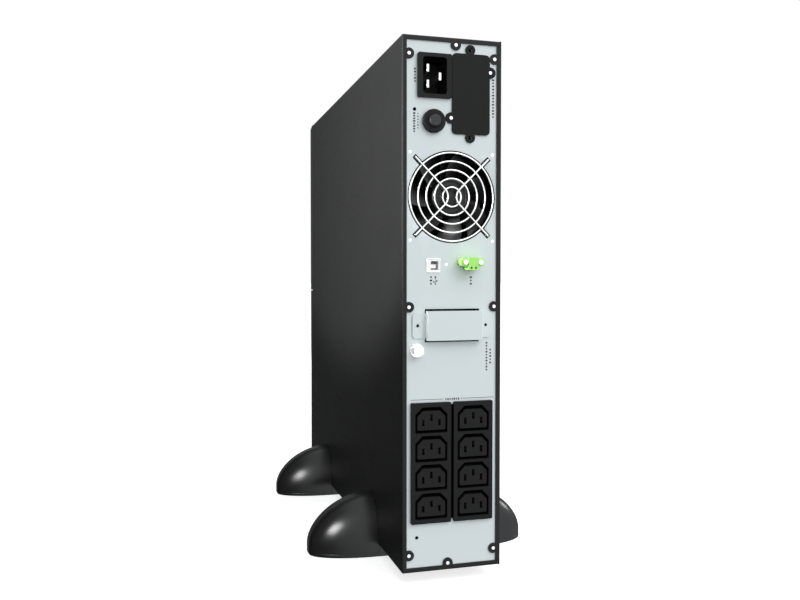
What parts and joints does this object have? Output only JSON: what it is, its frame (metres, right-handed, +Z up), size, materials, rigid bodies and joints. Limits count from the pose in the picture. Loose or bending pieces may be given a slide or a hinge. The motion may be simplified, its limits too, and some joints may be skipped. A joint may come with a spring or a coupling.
{
  "type": "uninterruptible power supply",
  "caption": "Upright rack-tower power supply with a grey rear panel, fan, mains inlet, outlet banks, turning front display, slide-out battery pack and domed stand feet.",
  "frame": {"origin": "on the floor under the middle of the object's box", "axes": "+Z up, -Y out of the front bezel, +Y out of the rear panel, +X towards the cover's broad side"},
  "size_m": [0.207, 0.448, 0.448],
  "materials": {
    "black_paint": "fine satin powder coat",
    "grey_paint": "smooth satin paint",
    "slot_paint": "fine textured powder coat",
    "bright_steel": "bright plated",
    "zinc_sheet": "plated sheet",
    "foot_plastic": "polished moulding",
    "black_plastic": "fine moulded texture",
    "front_plastic": "fine moulded texture",
    "fan_plastic": "glass-filled moulding",
    "green_plastic": "moulded",
    "white_plastic": "moulded",
    "battery_case": "moulded",
    "brass": "plated",
    "aluminium": "extruded",
    "core_steel": "laminated and varnished",
    "winding": "varnished wire under tape",
    "board": "coated laminate",
    "capacitor": "sleeved",
    "relay": "moulded",
    "window": "clear",
    "lcd": "display module",
    "key_plastic": "moulded"
  },
  "bodies": {
    "case": {"cover_shell": "black_paint", "base_shell": "black_paint", "cover_screws": "bright_steel", "rear_panel": "grey_paint", "stand_rear_right": "foot_plastic", "stand_rear_left": "foot_plastic", "stand_front_right": "foot_plastic", "stand_front_left": "foot_plastic", "inlet_housing": "black_plastic", "inlet_blades": "bright_steel", "breaker_body": "black_plastic", "breaker_nut": "black_plastic", "slot_cover": "slot_paint", "slot_screws": "bright_steel", "card_cage": "zinc_sheet", "fan_frame": "fan_plastic", "fan_bearing": "brass", "fan_guard": "bright_steel", "fan_screws": "bright_steel", "usb_shell": "bright_steel", "usb_insert": "white_plastic", "comm_board": "board", "comm_screw": "bright_steel", "epo_socket": "green_plastic", "bridge_cover": "grey_paint", "battery_connector": "black_plastic", "ground_screw": "bright_steel", "outlet_bank_right": "black_plastic", "outlet_bank_left": "black_plastic", "outlet_contacts": "brass", "front_frame": "zinc_sheet", "mid_partition": "zinc_sheet", "main_board": "board", "board_standoffs": "brass", "capacitors": "capacitor", "relays": "relay", "heatsinks": "aluminium", "transformer_core": "core_steel", "transformer_winding": "winding", "front_bezel": "front_plastic"},
    "fan": {"fan_rotor": "fan_plastic"},
    "breaker_button": {"breaker_button": "black_plastic"},
    "display": {"display_housing": "black_plastic", "display_window": "window", "display_panel": "lcd"},
    "key_escape": {"key_escape": "key_plastic"},
    "key_up": {"key_up": "key_plastic"},
    "key_down": {"key_down": "key_plastic"},
    "key_enter": {"key_enter": "key_plastic"},
    "power_button": {"power_button": "key_plastic"},
    "epo_plug": {"epo_plug": "green_plastic", "epo_screws": "bright_steel"},
    "battery_door": {"battery_door": "front_plastic"},
    "battery_pack": {"battery_tray": "zinc_sheet", "tray_screws": "black_plastic", "battery_front_lower": "battery_case", "battery_front_upper": "battery_case", "battery_rear_lower": "battery_case", "battery_rear_upper": "battery_case", "battery_terminals": "brass"}
  },
  "joints": [
    {"name": "fan_spin", "type": "hinge", "parent": "case", "child": "fan", "pos_m": [0, 0.1991, 0.3184], "axis": [0, 1, 0], "continuous": true},
    {"name": "breaker_pop", "type": "slide", "parent": "case", "child": "breaker_button", "axis": [0, 1, 0], "range_m": [0, 0.004]},
    {"name": "display_turn", "type": "hinge", "parent": "case", "child": "display", "pos_m": [0, -0.2232, 0.342], "axis": [0, 1, 0], "range_deg": [0, 90]},
    {"name": "key_escape_press", "type": "slide", "parent": "display", "child": "key_escape", "axis": [0, 1, 0], "range_m": [0, 0.0008], "stiffness_N_per_m": 300},
    {"name": "key_up_press", "type": "slide", "parent": "display", "child": "key_up", "axis": [0, 1, 0], "range_m": [0, 0.0008], "stiffness_N_per_m": 300},
    {"name": "key_down_press", "type": "slide", "parent": "display", "child": "key_down", "axis": [0, 1, 0], "range_m": [0, 0.0008], "stiffness_N_per_m": 300},
    {"name": "key_enter_press", "type": "slide", "parent": "display", "child": "key_enter", "axis": [0, 1, 0], "range_m": [0, 0.0008], "stiffness_N_per_m": 300},
    {"name": "power_press", "type": "slide", "parent": "case", "child": "power_button", "axis": [0, 1, 0], "range_m": [0, 0.0015], "stiffness_N_per_m": 400},
    {"name": "epo_pull", "type": "slide", "parent": "case", "child": "epo_plug", "axis": [0, 1, 0], "range_m": [0, 0.01]},
    {"name": "battery_slide", "type": "slide", "parent": "case", "child": "battery_pack", "axis": [0, -1, 0], "range_m": [0, 0.3]},
    {"name": "door_pull", "type": "slide", "parent": "case", "child": "battery_door", "axis": [0, -1, 0], "range_m": [0, 0.34]}
  ],
  "couplings": [
    {"joint": "door_pull", "follows": "battery_slide", "ratio": 1.1333}
  ]
}
